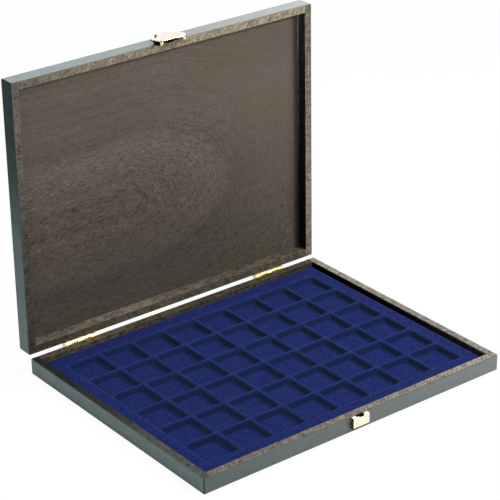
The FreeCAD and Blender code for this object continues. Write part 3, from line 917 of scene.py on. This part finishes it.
def flockFinish():
    net = Net(bpy.data.materials.new("blue_flock_finish"))
    low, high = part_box("capsule_tray")
    spot = net.place()
    x, y = net.axes(spot)[:2]
    facingX, facingUp = net.facing()[::2]
    pitch = (high.x - low.x - 2 * tray["sideBorder"]) / tray["columns"]
    ribs = [net.node("ShaderNodeMath", {"operation": "PINGPONG"}, {0: axis - start, 1: pitch / 2})
            for axis, start in ((x, low.x + tray["sideBorder"]), (y, low.y + tray["endBorder"]))]
    inner, outer = flock["fieldTurn"]
    field = [net.ramp(abs(axis), end + inner, end + outer, 1.0, 0.0) for axis, end in
             ((x, high.x - tray["sideBorder"]), (y, high.y - tray["endBorder"]))]
    crest = net.ramp(ribs[0].least(ribs[1]), 0.0, flock["crest"], 1.0, 0.0) * (field[0] * field[1])
    nap, tuft, brushed = (net.cloud(spot, flock[kind]) for kind in ("nap", "tuft", "brushed"))
    fromEdge = (high.x - tray["rightGap"] - x).least(x - low.x).least(high.y - abs(y))
    tufts = net.mix(net.ramp(tuft, *flock["tuftTurn"]), flock["deep"], flock["pale"])
    colour = net.mix(net.ramp(brushed, *flock["brushedTurn"]), flock["deep"], flock["mid"])
    colour = net.mix(net.ramp(nap, *flock["napTurn"]), colour, tufts)
    # the crests of the ribs painted paler, a painted highlight
    colour = net.mix(crest * flock["crestShare"], colour, flock["pale"])
    colour = net.mix(net.ramp(fromEdge, *flock["cutTurn"], 1.0, 0.0), colour, flock["cutEdge"])
    # painted shade on the pocket walls, by the way each faces and where it lies across the tray
    shady = net.dimmed(flock["shadyWall"], net.profile(x, flock["shadyShare"]))
    wall = net.mix(net.ramp(facingX, *flock["shadyTurn"]), flock["wall"], shady)
    colour = net.mix(net.ramp(facingUp, *flock["wallTurn"]), colour, wall)
    return net.finish(Base_Color=colour, Roughness=flock["roughness"], Specular_IOR_Level=0.0,
                      Sheen_Weight=flock["sheen"], Sheen_Roughness=flock["sheenRoughness"],
                      Sheen_Tint=flock["sheenTint"], bump=(nap, flock["bumpDepth"]))


trayPiece = flockedTray()
trayPiece.data.materials.append(flockFinish())
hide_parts("capsule_tray")
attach(trayPiece, "base")
print("tray formed:", len(trayPiece.data.vertices), "points")


# Stage: a white floor, a cool dim room, a soft key from the front right and a large top light

stageSet = {
    "floorSide": 6.0,
    "floorLevel": -0.1 * mm,
    "floorColour": (0.82, 0.82, 0.82, 1.0),
    "floorGlow": 0.96,              # how much of the floor's white doesn't come from the lamps
    "ambientColour": (0.78, 1.0, 0.97, 1.0),
    "ambient": 0.4,
    "background": 1.0,
    "white": (1.0, 1.0, 1.0, 1.0),
    "aim": (0.0, 0.05, 0.1),        # the spot that the lamps face
}

lamps = {
    "key": {"place": (0.59, -0.79, 0.86), "size": (0.3, 0.08), "power": 8.8},
    "top": {"place": (0.3, 0.08, 1.1), "size": (0.4, 0.25), "power": 12.0},
}


def seenDirectly(net):
    # 1 for rays that show the surroundings: to the camera, in gloss and through glass
    path = [net.node("ShaderNodeLightPath", {}, {}, ray) for ray in
            ("Is Camera Ray", "Is Glossy Ray", "Is Transmission Ray")]
    return path[0].most(path[1]).most(path[2])


def makeFloor():
    net = Net(bpy.data.materials.new("floor_finish"))
    plain = net.node("ShaderNodeBsdfDiffuse", {}, {"Color": stageSet["floorColour"]})
    white = net.node("ShaderNodeEmission", {}, {"Color": stageSet["white"], "Strength": 1.0})
    share = seenDirectly(net) * stageSet["floorGlow"]
    surface = net.node("ShaderNodeMixShader", {}, {0: share, 1: plain, 2: white})
    net.node("ShaderNodeOutputMaterial", {}, {"Surface": surface})
    half, level = stageSet["floorSide"] / 2, stageSet["floorLevel"]
    data = bpy.data.meshes.new("floor")
    corners = [(x * half, y * half, level) for x, y in ((-1, -1), (1, -1), (1, 1), (-1, 1))]
    data.from_pydata(corners, [], [(0, 1, 2, 3)])
    data.materials.append(net.owner)
    floor = placed("floor", data)


def makeWorld():
    world = bpy.data.worlds.new("studio")
    bpy.context.scene.world = world
    net = Net(world)
    soft = net.node("ShaderNodeBackground", {},
                    {"Color": stageSet["ambientColour"], "Strength": stageSet["ambient"]})
    white = net.node("ShaderNodeBackground", {},
                     {"Color": stageSet["white"], "Strength": stageSet["background"]})
    surface = net.node("ShaderNodeMixShader", {}, {0: seenDirectly(net), 1: soft, 2: white})
    net.node("ShaderNodeOutputWorld", {}, {"Surface": surface})


def makeLamp(name, place, size, power):
    data = bpy.data.lights.new(name, "AREA")
    data.shape = "RECTANGLE"
    data.size, data.size_y = size
    data.energy = power
    lamp = placed(name, data)
    lamp.location = place
    aim = Vector(stageSet["aim"]) - Vector(place)
    lamp.rotation_mode = "QUATERNION"
    lamp.rotation_quaternion = aim.to_track_quat("-Z", "Y")


makeFloor()
makeWorld()
for name, lamp in lamps.items():
    makeLamp(name, **lamp)


# Camera

cameraView = {
    "side": 500,                    # the square picture's side in pixels
    "focal": 2001.0,                # in pixels too
    "centre": (275, 200),           # the pixel that the lens points at
    "place": (-1.0012, -1.2949, 0.9081),
    "azimuth": 38.12,
    "elevation": 24.12,
    "roll": -0.66,
    "sensor": 36.0,
}


def makeCamera():
    data = bpy.data.cameras.new("camera")
    data.sensor_width = cameraView["sensor"]
    data.lens = cameraView["focal"] / cameraView["side"] * cameraView["sensor"]
    data.shift_x = 0.5 - cameraView["centre"][0] / cameraView["side"]
    data.shift_y = cameraView["centre"][1] / cameraView["side"] - 0.5
    azimuth, elevation, roll = (math.radians(cameraView[k]) for k in ("azimuth", "elevation", "roll"))
    ahead = Vector((math.sin(azimuth) * math.cos(elevation),
                    math.cos(azimuth) * math.cos(elevation), -math.sin(elevation)))
    camera = placed("camera", data)
    turn = ahead.to_track_quat("-Z", "Y").to_matrix().to_4x4()
    camera.matrix_world = (Matrix.Translation(cameraView["place"]) @ turn
                           @ Matrix.Rotation(roll, 4, "Z"))
    bpy.context.scene.camera = camera


makeCamera()
bpy.context.scene.view_settings.view_transform = "Standard"
print("stage, lamps and camera set")
